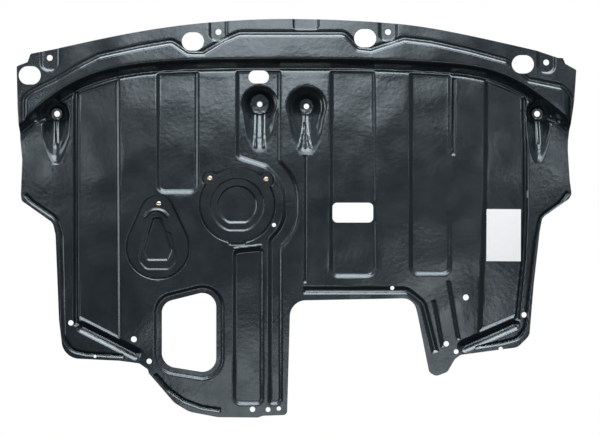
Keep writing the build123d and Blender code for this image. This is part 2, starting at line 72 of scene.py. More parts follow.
# front terrace wall: its line from left to right, then its section as distance in front of it and height
WALL_LINE = [(-560, 139), (-500, 188), (-436, 238), (-384, 264), (-272, 287), (-140, 293), (6, 294),
             (150, 292), (272, 286), (340, 278), (394, 261), (434, 239), (502, 186), (560, 139)]
WALL_SECTION = [(-80, PANEL_Z), (-24, PANEL_Z), (-20.5, 36.8), (-17.5, 36), (-15.2, 34.4), (-13.8, 32.6),
                (-13, 32.6), (1.5, 59.5), (3.5, 60.7), (6.5, TERRACE_Z), (80, TERRACE_Z)]

# rear edge of the step down to the front lip, with the bend at its corners
LIP_LINE = [(-501, 60), (-501, 222), (-486, 233), (-443, 254), (-402, 278), (-365, 297), (-291, 313),
            (-233, 323), (-203, 303), (-172, 302), (-133, 326), (-105, 338), (86, 338), (112, 311),
            (138, 308), (200, 328), (250, 322), (322, 306), (388, 288), (428, 252), (492, 239), (502, 226),
            (502, 60)]
LIP_BEND = 12.0
# furrow at the foot of that step: its width, and how far it spreads as a share of it
FURROW_WIDTH = 5.0
FURROW_SPREAD = 0.6

# pads and notch of the lip, open to the front: x of the middle, y of the rear side, width, depth, bend, slope
PAD = (34, 3, 15, 45)
NOTCH = (48, 4, 9, 62)
PADS = [(-458.5, 274, *PAD), (-145, 328, *PAD), (170, 328, *PAD), (464, 269, *PAD), (17.5, 350, *NOTCH)]

# fields between the lands of the main panel, and the one of the tail: x, y, bend
FIELDS = [
    [(-410, 236, 0), (-331, 261, 0), (-328, -227, 0), (-410, -185, 0)],
    [(-260.5, 272, 4), (-183, 275, 4), (-183, 47.5, 16), (-260.5, 47.5, 16)],
    [(62.5, 277, 4), (146, 276, 4), (150, -109.5, 20), (62.5, -109.5, 16)],
    [(211, 273, 4), (287.5, 269, 4), (287.5, -105, 15), (211, -105, 15)],
    [(351, 260, 0), (424, 229, 0), (426, 90, 60), (426.5, 10, 60), (422.5, -78, 60), (412, -182, 0),
     (339, -213, 0), (349, 34.5, 100)],
    [(-118, -60, 10), (-62, -54, 8), (-62, -347, 12), (-118, -347, 14)],
]

# long channel from the front field past the round cover into the tail: x, y, bend
CHANNEL = [
    (-112.5, 277, 4), (-30, 277, 4), (-30, 108, 12), (4.5, 73, 92), (4.5, -23, 92), (-27, -54.5, 14),
    (-27, -347, 12), (-52, -347, 6), (-52, -38, 14), (-25, -10.5, 65), (-25, 60.5, 65), (-58, 95, 10),
    (-112.5, 113, 14),
]

# screw wells: axis, radii of seat and rim, half widths and distances of the ramp at the rim and at the seat
WELLS = [
    (-69, 214, 17.5, 33, [(31, 12), (24, 58), (15, 79), (7, 88)], [(14, 6), (10, 13), (6, 15.5), (3, 16.5)]),
    (18.5, 210, 13, 34, [(32, 12), (25, 54), (15, 75), (7, 84)], [(10.5, 5), (8, 9), (5, 11), (2.5, 12)]),
    (-448.5, 196, 11, 24, [(24.5, 8), (23, 42), (14, 70), (4, 87)], [(9, 4), (6, 8), (4, 9.5), (2, 10)]),
    (450.5, 196, 11, 23, [(22.5, 8), (21, 36), (13, 66), (4, 86)], [(9, 4), (6, 8), (4, 9.5), (2, 10)]),
]
# diameters of the holes in their seats
WELL_HOLES = [10, 10, 11, 11]
# how much a seat rises towards the front for each millimetre
SEAT_TILT = 0.06

# gullies beside the wing wells: the ring at the panel and the well's axis, and the share of the way to that
# axis by which the foot is drawn in
GULLIES = [
    ([(-492, 176), (-472, 178), (-446, 186), (-444, 206), (-458, 203)], WELLS[2][:2]),
    ([(491, 175), (460, 201), (446, 202), (448, 182), (474, 177)], WELLS[3][:2]),
]
GULLY_END = 0.55

# ridges in the ramps, at the ends of the front wall and above the tail's field: half width, rise and line
RIDGES = [
    (4.0, 2.0, [(-75.5, 196), (-76.5, 134)]),
    (4.0, 2.0, [(-61.5, 196), (-61.5, 134)]),
    (3.0, 2.2, [(14.5, 199), (16, 132)]),
    (3.2, 1.6, [(14.5, 178), (5.5, 133)]),
    (3.2, 1.6, [(15, 178), (26, 133)]),
    (5.0, 3.0, [(-449, 183), (-447, 142)]),
    (5.0, 3.0, [(450, 183), (451, 142)]),
    (4.0, 3.0, [(-503, 178), (-483, 181), (-478, 197)]),
    (4.0, 3.0, [(499, 175), (484, 180), (478, 192)]),
    (3.0, 1.5, [(-117, -56), (-66, -50)]),
]

# grooves: width and centre line
GROOVES = [
    (8, [(293, 262), (292, 118)]),
    (8, [(-506, 46), (-494, 32), (-447, 0), (-438, -32), (-434, -222), (-418, -246), (-392, -252),
         (-322, -256)]),
    (8, [(507, 50), (490, 28), (455, 3), (446, -40), (434, -140), (427, -204), (412, -224), (386, -231),
         (332, -240)]),
    (13, [(12, -134), (206, -134), (236, -158), (259, -250)]),
    (7, [(256, -152), (272.5, -240)]),
    (7, [(283, -116), (302, -226)]),
    (7, [(16, 118), (16, -120)]),
    (8, [(-264, -290), (-240, -318), (-210, -339), (-176, -352), (-142, -357)]),
]
GROOVE_BEND = 24.0

# deeper channels along the outer fields, and the drains of the rear corners
SIDE_CHANNEL_WIDTH = 12.0
SIDE_CHANNEL_BEND = 60.0
SIDE_CHANNELS = [[(-410, 238), (-410, -200)], [(424, 226), (426, 90), (426.5, 10), (422.5, -78), (411, -190)]]
CORNER_WIDTH = 23.0
CORNER_TIP = 11.0
CORNERS = [[(-408, -197), (-290, -257)], [(415, -193), (302, -243)]]

# openings: the window as x, y, bend, the ovals and the slot as x, y, length and width
WINDOW = [(-251, -157, 24), (-149.7, -131.6, 26), (-149.7, -290.3, 26), (-251, -274, 28)]
OVALS = [(-495.5, 266, 41, 34), (-192.5, 329, 41, 34), (127.5, 335, 41, 34), (420.5, 286.5, 41, 34),
         (-70.5, 264, 38, 24)]
WINDOW_BORDER = 14.0
SLOT = (105, 11, 76, 37)
SLOT_CORNER = 9.0

# round holes of the lip, of the wells and of the panel: x, y, diameter
ROUND_HOLES = [(-458.5, 298.5, 11), (-145, 346.5, 11), (170, 346.5, 11), (464, 290, 11)]
ROUND_HOLES += [(well[0], well[1], diameter) for well, diameter in zip(WELLS, WELL_HOLES)]
ROUND_HOLES += [
    (-42, -12, 7.5), (178.5, -129.5, 7.5), (-420.5, -194.5, 10), (-303, -225, 11), (-274.5, -266, 10),
    (-375.5, -257, 5.5), (315.5, -147, 11), (424, -179.5, 10), (279, -233.5, 10), (297.5, -248, 9),
    (-82, -355.5, 10), (-53, -356, 9), (-33, -354, 8), (380.5, -243, 8),
]

# covers: play in the seat, width of the seat's slanted edge, ledge they lie on, and the holes of their screws
COVER_GAP = 1.5
EDGE_WIDTH = 2.4
SEAT_LEDGE = 8.5
SCREW_HOLE_R = 2.55
# how far the visual covers' edge lies inside their plan, and the inner guide rings inside the play's edge
COVER_INSET = 0.4
FOOT_INSET = 0.7

# round cover: middle, radius, ears, tab as half width and reach, and its dish as radius, flat side and depth
ROUND_AT = (-110.5, 25.0)
ROUND_R = 67.5
EARS = [(-161.0, 74.5), (-56.5, 72.5)]
EAR_R = 11.0
TAB = (13.0, 70.5)
DISH = [(50.5, 48.0, 1.6), (38.5, 35.0, 4.0)]

# teardrop cover: its circles as x, y, radius, the opening's upper circle, its screw, and its dish and arch
TEAR_TOP = (-259.5, 11, 29)
TEAR_LOW = (-258.5, -54, 56)
TEAR_OPEN = (-259, -13, 19)
TEAR_SCREW = (-256.5, 27.0)
TEAR_DISH = [
    (1.2, [(-284, -24, 10), (-234, -24, 10), (-222, -78, 16), (-236, -95, 14), (-280, -95, 14),
           (-295, -78, 16)]),
    (3.2, [(-268, 3, 7), (-252, 3, 7), (-229.5, -60, 12), (-238, -79.5, 8), (-279, -79.5, 8),
           (-287, -60, 12)]),
]
TEAR_ARCH = [(-281, 3), (-273, 12), (-260.5, 15.5), (-248, 12), (-240, 4)]

# screws, and their section from the top of the head down: radius and height above the panel
SCREWS = [("screw_left_ear", *EARS[0]), ("screw_right_ear", *EARS[1]), ("screw_teardrop", *TEAR_SCREW)]
SCREW_SECTION = [(0.0, 2.1), (1.6, 2.35), (3.2, 2.2), (4.3, 1.6), (4.85, 0.8), (5.0, 0.15), (4.95, 0.0),
                 (2.4, 0.0), (2.4, -12.4), (1.9, -13.0), (0.0, -13.0)]
SCREW_SIDES = 48
# cross recess of the head: depth, half width, reach, and the height above which it is cut
CROSS_DEPTH, CROSS_HALF, CROSS_REACH, CROSS_ABOVE = 0.9, 0.6, 3.4, 1.5

# outline: the front edge from left to right, then the other sides clockwise with their corner radii
FRONT_EDGE = [(-445.5, 315.5), (-272.5, 350.5), (-140, 366), (6.5, 370.7), (120, 366.5), (207.5, 359.5),
              (322.5, 339.5), (447.5, 311.5)]
SIDES = [
    (486, 298.5, 6), (495, 298, 3), (499, 287.5, 4), (519.8, 276, 4), (516, 220, 60), (506, 146, 20),
    (505.5, 127, 15), (509, 72, 30), (512.5, 45, 8), (507, 36, 12), (458, 1, 12), (453, -25, 30),
    (442, -122, 80), (434, -218, 20), (412, -240, 20), (306, -254, 15), (295, -262, 10), (281, -286, 12),
    (259.5, -294, 12), (247, -286, 10), (225.5, -178, 60), (218, -148.5, 26), (-11.5, -153, 30),
    (-17.5, -366, 8), (-62, -367.5, 4), (-72, -370.8, 4), (-146, -370.3, 90), (-200, -360, 50),
    (-228, -343, 40), (-275.5, -288, 6), (-277, -281, 5), (-293, -270, 8), (-330, -265, 60),
    (-434, -260, 34), (-442.5, -189, 80), (-449, -30, 60), (-454, -8, 18),
    (-512, 33, 8), (-513.5, 44, 8), (-511, 110, 60), (-514.5, 146, 40),
    (-518, 205.5, 80), (-519.8, 283, 4), (-499.5, 290.5, 5), (-494, 306, 5),
]

# unevenness of the sheet: slope of its waves, the level at which they start, and the sag behind the wall
WAVE_SLOPE = 0.006
WAVE_FROM_Z, WAVE_FADE = 24.0, 6.0
SAG_DEPTH, SAG_FROM, SAG_LENGTH = 2.2, 110.0, 150.0
SAG_TOP_Z, SAG_FADE = TERRACE_Z - 10, 8.0

COARSE_CELL = 8.0
UNDER_TOLERANCE = 0.12
COVER_TOLERANCE = 0.03
RING_SPACING, HOLE_SPACING = 4.0, 2.5
# how far the points of the cells stay from the cut edges and from the guide rings
EDGE_CLEAR, GUIDE_CLEAR = 0.6, 0.45

# lamps: place, aim, size in metres, and brightness of the lit face. Those that point straight down aim a hair
# off, so that it is settled which way they are turned
LAMPS = [
    ("front lamp", (0.0, 1.6, 0.38), (0.0, 0.1, 0.05), (2.2, 0.7), 9.0),
    ("middle lamp", (0.0, 0.84, 1.2), (0.0, 0.8401, 0.0), (1.2, 0.36), 7.5),
    ("front softbox", (-0.05, 0.485, 1.2), (-0.05, 0.4851, 0.0), (0.6, 0.35), 2.9),
    ("ramp lamp", (0.0, 1.31, 0.9), (0.0, 0.16, 0.02), (1.1, 0.28), 8.0),
    ("centre softbox", (-0.05, 0.39, 1.18), (-0.05, 0.3901, 0.0), (0.2, 0.2), 1.8),
    ("rear softbox", (-0.12, -0.46, 1.2), (-0.12, -0.4599, 0.0), (0.36, 0.36), 1.8),
    ("leg softbox", (0.32, -0.26, 1.2), (0.32, -0.2599, 0.0), (0.22, 0.26), 2.4),
    ("left wing softbox", (-0.57, 0.151, 1.2), (-0.57, 0.1511, 0.0), (0.08, 0.1), 7.0),
    ("right wing softbox", (0.57, 0.151, 1.2), (0.57, 0.1511, 0.0), (0.08, 0.1), 7.0),
    ("left lamp", (-1.4, 0.2, 0.42), (0.0, 0.0, 0.0), (1.0, 0.5), 2.6),
]

# floor: its side and how far it lies under the shield, in metres
FLOOR_SIZE = 12.0
FLOOR_DROP = 0.0005

# camera: width of its sensor in millimetres, and the middle of its view in metres
SENSOR_WIDTH = 36.0
VIEW_MIDDLE = (0.0065, 0.0019, 0.045)


def lean(slope):
    """Sideways shift of the under face where the sheet leans at a slope."""
    return tan(radians(slope) / 2)


def smooth_line(points, steps):
    """Points along the natural cubic curve through the given ones."""
    p = np.array(points, float)
    t = np.concatenate([[0], np.cumsum(np.hypot(*np.diff(p, axis=0).T))])
    h = np.diff(t)
    n = len(p)
    a = np.eye(n)
    r = np.zeros((n, 2))
    for i in range(1, n - 1):
        a[i, i - 1:i + 2] = h[i - 1], 2 * (h[i - 1] + h[i]), h[i]
        r[i] = 6 * ((p[i + 1] - p[i]) / h[i] - (p[i] - p[i - 1]) / h[i - 1])
    m = np.linalg.solve(a, r)
    u = np.linspace(0, t[-1], steps + 1)
    k = np.clip(np.searchsorted(t, u, side="right") - 1, 0, n - 2)
    left, right, w = (t[k + 1] - u)[:, None], (u - t[k])[:, None], h[k][:, None]
    out = (m[k] * left ** 3 + m[k + 1] * right ** 3) / (6 * w) + (p[k] / w - m[k] * w / 6) * left
    out += (p[k + 1] / w - m[k + 1] * w / 6) * right
    return [tuple(v) for v in out]


def rounded(points, bends, angle=7.0):
    """The points of a closed ring, with every bend given in short steps of an angle."""
    if not isinstance(bends, (list, tuple)):
        bends = [bends] * len(points)
    ring = []
    for i, (x, y) in enumerate(points):
        (ax, ay), (bx, by) = points[i - 1], points[(i + 1) % len(points)]
        a, b = hypot(x - ax, y - ay), hypot(bx - x, by - y)
        mx, my, nx, ny = (x - ax) / a, (y - ay) / a, (bx - x) / b, (by - y) / b
        turn = acos(max(-1.0, min(1.0, mx * nx + my * ny)))
        flats = max(1, round(turn / radians(angle))) if bends[i] else 0
        if flats == 0 or turn < 0.01:
            ring.append((x, y))
            continue
        reach = bends[i] * tan(turn / 2)
        step = turn / flats
        length = part = bends[i] * tan(step / 2)
        px, py, turned = x - mx * reach, y - my * reach, 0.0
        side = 1 if mx * ny - my * nx > 0 else -1
        for _ in range(flats):
            px += (mx * cos(turned) - side * my * sin(turned)) * length
            py += (my * cos(turned) + side * mx * sin(turned)) * length
            ring.append((px, py))
            turned, length = turned + step, 2 * part
    return ring


def circle(x, y, radius, sides=40):
    """The corners of a circle."""
    angles = [2 * pi * i / sides for i in range(sides)]
    return [(x + radius * cos(angle), y + radius * sin(angle)) for angle in angles]


def box(x, y, length, width):
    """The corners of a rectangle given by its middle."""
    return [(x + length / 2, y + width / 2), (x - length / 2, y + width / 2),
            (x - length / 2, y - width / 2), (x + length / 2, y - width / 2)]


def hull_of_two(top, low, top_steps=24, low_steps=40):
    """The ring round two circles, each given by its centre and radius, with the larger one lower."""
    (ax, ay, ar), (bx, by, br) = top, low
    length, tilt = hypot(bx - ax, by - ay), atan2(ay - by, ax - bx)
    open_angle = acos((br - ar) / length)
    ring = []
    for i in range(top_steps + 1):
        angle = tilt + open_angle - 2 * open_angle * i / top_steps
        ring.append((ax + ar * cos(angle), ay + ar * sin(angle)))
    rest = 2 * pi - 2 * open_angle
    for i in range(low_steps + 1):
        angle = tilt - open_angle - rest * i / low_steps
        ring.append((bx + br * cos(angle), by + br * sin(angle)))
    return ring


def strip(points, width, bend=0.0, tip=1.5):
    """Corner points and bend radii of the ring round a bent line of one width, with bends at its tips."""
    half = width / 2
    ends = [(2 * points[0][0] - points[1][0], 2 * points[0][1] - points[1][1]),
            (2 * points[-1][0] - points[-2][0], 2 * points[-1][1] - points[-2][1])]
    line = [ends[0]] + list(points) + [ends[1]]
    sides, bends = {1: [], -1: []}, {1: [], -1: []}
    for i in range(1, len(line) - 1):
        (ax, ay), (x, y), (bx, by) = line[i - 1:i + 2]
        a, b = hypot(x - ax, y - ay), hypot(bx - x, by - y)
        mx, my, nx, ny = (ay - y) / a, (x - ax) / a, (y - by) / b, (bx - x) / b
        reach = half / (1 + mx * nx + my * ny)
        for side in sides:
            sides[side].append((x + side * (mx + nx) * reach, y + side * (my + ny) * reach))
            inner = (mx * ny - my * nx > 0) == (side == 1)
            end = i in (1, len(line) - 2)
            bends[side].append(tip if end else bend + (-half if inner else half))
    return sides[1] + sides[-1][::-1], bends[1] + bends[-1][::-1]


def bent(points):
    """The ring through corners given with their bend radii."""
    return rounded([(x, y) for x, y, r in points], [r for x, y, r in points])


def inside_distance(x, y, ring):
    """Distance from a closed ring, positive inside it."""
    best = np.full(x.shape, 1e12)
    inside = np.zeros(x.shape, bool)
    for (ax, ay), (bx, by) in zip(ring, list(ring[1:]) + [ring[0]]):
        dx, dy = bx - ax, by - ay
        span = dx * dx + dy * dy
        if span < 1e-12:
            continue
        t = np.clip(((x - ax) * dx + (y - ay) * dy) / span, 0, 1)
        best = np.minimum(best, (x - ax - t * dx) ** 2 + (y - ay - t * dy) ** 2)
        if dy:
            crosses = (ay > y) != (by > y)
            inside ^= crosses & (x < ax + (y - ay) * dx / dy)
    return np.where(inside, 1.0, -1.0) * np.sqrt(best)


def soft_min(a, b, k):
    """The lower of two heights, blended where they are less than k apart."""
    mix = np.clip(0.5 + 0.5 * (b - a) / k, 0, 1)
    return b * (1 - mix) + a * mix - k * mix * (1 - mix)


def soft_max(a, b, k):
    """The higher of two heights, blended where they are less than k apart."""
    return -soft_min(-a, -b, k)


class Ring:
    """A closed ring with its box, for fast distances."""

    def __init__(self, points):
        self.points = points
        p = np.array(points)
        self.low, self.high = p.min(0), p.max(0)

    def near(self, x, y, margin):
        """Which places lie in the ring's box or less than a margin outside it."""
        return ((x > self.low[0] - margin) & (x < self.high[0] + margin)
                & (y > self.low[1] - margin) & (y < self.high[1] + margin))

    def distance(self, x, y):
        return inside_distance(x, y, self.points)


def sink(z, near, form, level, soft, floor=-np.inf):
    """Lower the heights in one region to a form, where the form is under a level plus the softness.

    Heights over the floor aren't lowered past it.
    """
    mixed = np.maximum(soft_min(z[near], form, soft), np.minimum(z[near], floor))
    z[near] = np.where(form < level + soft, mixed, z[near])


class Press:
    """A form pressed down inside a ring, with a slope at its sides, soft edges and a furrow at its foot."""

    def __init__(self, ring, level, depth, slope, top=2.0, low=2.0, furrow=0.0):
        self.ring = Ring(ring)
        self.level, self.depth, self.slope, self.top, self.low = level, depth, slope, top, low
        self.furrow = furrow

    def apply(self, x, y, z, skin):
        grow = skin * lean(self.slope)
        near = self.ring.near(x, y, grow + self.top)
        if near.any():
            rise = tan(radians(self.slope))
            d = self.ring.distance(x[near], y[near]) + grow
            side = self.level - skin - d * rise
            form = soft_max(side, np.full_like(side, self.level - skin - self.depth), self.low)
            if self.furrow:
                foot = self.depth / rise + FURROW_WIDTH / 2
                form -= self.furrow * np.exp(-((d - foot) / (FURROW_SPREAD * FURROW_WIDTH)) ** 2)
            sink(z, near, form, self.level - skin, self.top)
        return z


class Bowl:
    """A form between a wide ring and a narrow ring with as many corners, both bulging outward."""

    # softness between its sides, and at its edge
    SOFT, EDGE = 3.0, 7.0

    def __init__(self, wide, narrow, level, depth, slope):
        self.ring = Ring(wide)
        self.level, self.depth, self.slope = level, depth, slope
        area = sum(ax * by - bx * ay for (ax, ay), (bx, by) in zip(wide, wide[1:] + wide[:1]))
        turn = 1 if area > 0 else -1
        self.planes = []
        n = len(wide)
        for i in range(n):
            (ax, ay), (bx, by) = wide[i], wide[(i + 1) % n]
            (cx, cy), (dx, dy) = narrow[i], narrow[(i + 1) % n]
            length = hypot(bx - ax, by - ay)
            nx, ny = -turn * (by - ay) / length, turn * (bx - ax) / length
            run = ((cx + dx) / 2 - ax) * nx + ((cy + dy) / 2 - ay) * ny
            if run > 1:
                self.planes.append((ax, ay, nx, ny, run))

    def apply(self, x, y, z, skin):
        grow = skin * lean(self.slope)
        near = self.ring.near(x, y, grow + self.EDGE + 1)
        if near.any():
            u, v = x[near], y[near]
            form = np.full_like(u, self.level - skin - self.depth)
            for ax, ay, nx, ny, run in self.planes:
                d = (u - ax) * nx + (v - ay) * ny + grow
                form = soft_max(form, self.level - skin - self.depth * d / run, self.SOFT)
            sink(z, near, form, self.level - skin, self.EDGE, self.level - skin - self.depth)
        return z


class Cone:
    """A round well with a seat that rises a little towards the front."""

    # softness at its foot and at its edge, how far past the rim it acts, and where the tilt of the seat ends
    SOFT, EDGE, REACH, TILT_END = 3.0, 10.0, 9.0, 60.0

    def __init__(self, x, y, seat, rim, level, depth):
        self.x, self.y, self.seat, self.rim, self.level, self.depth = x, y, seat, rim, level, depth
        self.slope = degrees(atan(depth / (rim - seat)))
        self.ring = Ring(circle(x, y, rim))

    def apply(self, x, y, z, skin):
        near = self.ring.near(x, y, self.REACH)
        if near.any():
            r = np.hypot(x[near] - self.x, y[near] - self.y)
            rise = tan(radians(self.slope))
            side = self.level - skin - (self.rim + skin * lean(self.slope) - r) * rise
            foot = self.level - skin - self.depth
            seat = foot + SEAT_TILT * np.clip(y[near] - self.y + self.seat, 0, self.TILT_END)
            sink(z, near, soft_max(side, seat, self.SOFT), self.level - skin, self.EDGE, foot)
        return z


class Seat:
    """The seat of a cover, with slanted walls and a round edge, inside a union of rings."""

    # softness at its foot and at its edge, and how far past the rings it acts
    SOFT, EDGE, REACH = 0.6, 1.6, 9.0

    def __init__(self, rings, grow):
        self.rings = [Ring(ring) for ring in rings]
        self.grow = grow

    def apply(self, x, y, z, skin):
        d = np.full(x.shape, -np.inf)
        for ring in self.rings:
            near = ring.near(x, y, self.REACH + 1)
            d[near] = np.maximum(d[near], ring.distance(x[near], y[near]))
        near = d > -self.REACH
        side = PANEL_Z - skin - (d[near] + self.grow + EDGE_WIDTH + skin * lean(45))
        form = soft_max(side, np.full_like(side, PANEL_Z - skin - SEAT_DEPTH), self.SOFT)
        z[near] = soft_min(z[near], form, self.EDGE)
        return z


class Border:
    """A step all round an opening."""

    # fall of its side for each millimetre, softness, and how far past its width it acts
    FALL, SOFT, REACH = 0.85, 2.0, 6.0

    def __init__(self, ring, width, depth):
        self.ring, self.width, self.depth = Ring(ring), width, depth

    def apply(self, x, y, z, skin):
        near = self.ring.near(x, y, self.width + self.REACH)
        if near.any():
            d = self.ring.distance(x[near], y[near]) + self.width + skin * lean(45)
            side = PANEL_Z - skin - self.FALL * d
            form = soft_max(side, np.full_like(side, PANEL_Z - skin - self.depth), self.SOFT)
            z[near] = soft_min(z[near], form, self.SOFT)
        return z


class Bead:
    """A raised round bead along a line, on the seen face only."""

    # how far its rise spreads, as a share of its half width
    SPREAD = 0.55

    def __init__(self, line, half, rise):
        self.line, self.half, self.rise = line, half, rise
        self.ring = Ring(line)

    def apply(self, x, y, z, skin):
        near = self.ring.near(x, y, self.half + 2)
        if skin == 0 and near.any():
            u, v = x[near], y[near]
            best = np.full(u.shape, np.inf)
            for (ax, ay), (bx, by) in zip(self.line, self.line[1:]):
                dx, dy = bx - ax, by - ay
                t = np.clip(((u - ax) * dx + (v - ay) * dy) / (dx * dx + dy * dy), 0, 1)
                best = np.minimum(best, np.hypot(u - ax - t * dx, v - ay - t * dy))
            z[near] += self.rise * np.exp(-(best / (self.SPREAD * self.half)) ** 2)
        return z


def section_shift(points, amount):
    """A section moved down square to itself."""
    ends = [(points[0][0] - 1, points[0][1])] + list(points) + [(points[-1][0] + 1, points[-1][1])]
    moved = []
    for i in range(1, len(ends) - 1):
        (ax, ay), (x, y), (bx, by) = ends[i - 1:i + 2]
        a, b = hypot(x - ax, y - ay), hypot(bx - x, by - y)
        mx, my, nx, ny = (y - ay) / a, (ax - x) / a, (by - y) / b, (x - bx) / b
        reach = amount / (1 + mx * nx + my * ny)
        moved.append((x + (mx + nx) * reach, y + (my + ny) * reach))
    return moved


class Terrace:
    """The section along the front wall line, blurred as a sheet bends over its tool."""

    # reach and step of the section, the blur and its reach in steps, and the y behind which there is no wall
    REACH, STEP, BLUR, BLUR_STEPS, FROM_Y = 78.0, 0.1, 1.1, 40, 90.0

    def __init__(self):
        line = smooth_line(WALL_LINE, 90)
        self.ring = [(-FAR, FAR)] + line + [(FAR, FAR)]
        self.rows = {}

    def section(self, skin):
        if skin not in self.rows:
            p = np.array(section_shift(WALL_SECTION, skin))
            d = np.arange(-self.REACH, self.REACH, self.STEP)
            z = np.interp(d, p[:, 0], p[:, 1])
            steps = np.arange(-self.BLUR_STEPS, self.BLUR_STEPS + 1)
            w = np.exp(-0.5 * (steps * self.STEP / self.BLUR) ** 2)
            pad = np.pad(z, self.BLUR_STEPS, mode="edge")
            self.rows[skin] = d, np.convolve(pad, w / w.sum(), mode="valid")
        return self.rows[skin]

    def height(self, x, y, skin):
        d, z = self.section(skin)
        out = np.full(x.shape, PANEL_Z - skin)
        front = y > self.FROM_Y
        out[front] = np.interp(inside_distance(x[front], y[front], self.ring), d, z)
        return out


def round_rings(grow):
    """The rings that make up the round cover's plan, grown all round."""
    x, y = ROUND_AT
    half, reach = TAB[0] + grow, TAB[1] + grow
    tab = [(x - half, y), (x + half, y), (x + half, y - reach), (x - half, y - reach)]
    return [circle(x, y, ROUND_R + grow, sides=72)] + [circle(*ear, EAR_R + grow) for ear in EARS] + [tab]


def round_plan(grow, count=360):
    """The plan of the round cover as one ring, found outward from its centre."""
    x, y = ROUND_AT
    plan = []
    for i in range(count):
        ux, uy = cos(2 * pi * i / count), sin(2 * pi * i / count)
        reach = 0.0
        for ring in round_rings(grow):
            for (ax, ay), (bx, by) in zip(ring, ring[1:] + ring[:1]):
                det = ux * (ay - by) - uy * (ax - bx)
                if abs(det) < 1e-9:
                    continue
                t = ((ax - x) * (ay - by) - (ay - y) * (ax - bx)) / det
                across = (ux * (ay - y) - uy * (ax - x)) / det
                if t > 0 and -1e-6 <= across <= 1 + 1e-6:
                    reach = max(reach, t)
        plan.append((x + reach * ux, y + reach * uy))
    return plan


def tear_plan(grow):
    """The plan of the teardrop cover as one ring, grown all round."""
    return hull_of_two((*TEAR_TOP[:2], TEAR_TOP[2] + grow), (*TEAR_LOW[:2], TEAR_LOW[2] + grow))


def dish_ring(radius, chord, steps=47):
    """A round dish with a flat rear side and slanted corners."""
    x, y = ROUND_AT
    start = -acos(chord / radius) / 2 - pi / 2
    span = 2 * pi - acos(chord / radius)
    ring = []
    for i in range(steps + 1):
        angle = start - span * i / steps
        ring.append((x + radius * cos(angle), max(y + radius * sin(angle), y - chord)))
    return ring


def mirrored(points, x, y):
    """The ring of a ramp behind a well's axis, from its half widths and distances."""
    return [(x - w, y - back) for w, back in points] + [(x + w, y - back) for w, back in points[::-1]]


def shield_forms():
    """Everything that is pressed into the shield, in the order it is applied."""
    lip = LIP_LINE + [(FAR, LIP_LINE[-1][1]), (FAR, FAR), (-FAR, FAR), (-FAR, LIP_LINE[0][1])]
    bends = [0] + [LIP_BEND] * (len(LIP_LINE) - 2) + [0] * 5
    forms = [Press(rounded(lip, bends), TERRACE_Z, TERRACE_Z - LIP_Z, slope=44, top=2.6, low=1.2,
                   furrow=3.0)]
    for x, y, width, depth, bend, slope in PADS:
        pad = [(x - width / 2, FAR), (x - width / 2, y), (x + width / 2, y), (x + width / 2, FAR)]
        forms.append(Press(rounded(pad, [0, bend, bend, 0]), LIP_Z, depth, slope, top=2.2, low=1.2))
    for field in FIELDS + [CHANNEL]:
        forms.append(Press(bent(field), PANEL_Z, FIELD_DEPTH, slope=40, top=2.6, low=2.2))
    for width, points in GROOVES:
        ring = rounded(*strip(points, width, GROOVE_BEND))
        forms.append(Press(ring, PANEL_Z, GROOVE_DEPTH, slope=44, top=1.4, low=1.6))
    for points in SIDE_CHANNELS:
        ring = rounded(*strip(points, SIDE_CHANNEL_WIDTH, SIDE_CHANNEL_BEND))
        forms.append(Press(ring, PANEL_Z, SIDE_CHANNEL_DEPTH, slope=60))
    for points in CORNERS:
        ring = rounded(*strip(points, CORNER_WIDTH, tip=CORNER_TIP))
        forms.append(Press(ring, PANEL_Z, CORNER_DEPTH, slope=42, low=3.0))
    for x, y, seat, rim, high, low in WELLS:
        forms.append(Cone(x, y, seat, rim, PANEL_Z, WELL_DEPTH))
        forms.append(Bowl(mirrored(high, x, y), mirrored(low, x, y), PANEL_Z, WELL_DEPTH, slope=45))
    for points, (x, y) in GULLIES:
        low = [(px + (x - px) * GULLY_END, py + (y - py) * GULLY_END) for px, py in points]
        forms.append(Bowl(points, low, PANEL_Z, GULLY_DEPTH, slope=60))
    forms += [Bead(line, half, rise) for half, rise, line in RIDGES]
    forms.append(Border(bent(WINDOW), WINDOW_BORDER, BORDER_DEPTH))
    forms.append(Seat(round_rings(0), COVER_GAP))
    forms.append(Seat([hull_of_two(TEAR_TOP, TEAR_LOW)], COVER_GAP))
    return forms


TERRACE = Terrace()


def wave_table(count, low, high, seed):
    """Directions, phases and lengths of the waves that the cooling sheet keeps."""
    draw = np.random.default_rng(seed)
    angle, phase = draw.uniform(0, 2 * pi, count), draw.uniform(0, 2 * pi, count)
    turn = 2 * pi / draw.uniform(low, high, count)
    return list(zip(turn * np.cos(angle), turn * np.sin(angle), phase, 1 / turn))


WAVES = wave_table(count=16, low=45.0, high=150.0, seed=5)


def shield_height(forms, wave):
    """The height of the shield's sheet: terrace, pressed forms, then waves and sag."""
    def height(x, y, skin=0.0):
        z = TERRACE.height(x, y, skin)
        for form in forms:
            z = form.apply(x, y, z, skin)
        uneven = np.zeros_like(z)
        for kx, ky, phase, length in WAVES:
            uneven += WAVE_SLOPE * wave * length * (np.sin(kx * x + ky * y + phase) - 1.0)
        front = np.clip((y - SAG_FROM) / SAG_LENGTH, 0, 1)
        uneven -= SAG_DEPTH * front * front * np.clip((SAG_TOP_Z - z - skin) / SAG_FADE, 0, 1)
        level = np.clip((z + skin - WAVE_FROM_Z) / WAVE_FADE, 0, 1)
        return z + uneven * level * level * (3 - 2 * level)
    return height


def panel_height(forms):
    """The height of a cover that lies level with the panel."""
    def height(x, y, skin=0.0):
        z = np.full(x.shape, PANEL_Z - skin)
        for form in forms:
            z = form.apply(x, y, z, skin)
        return z
    return height


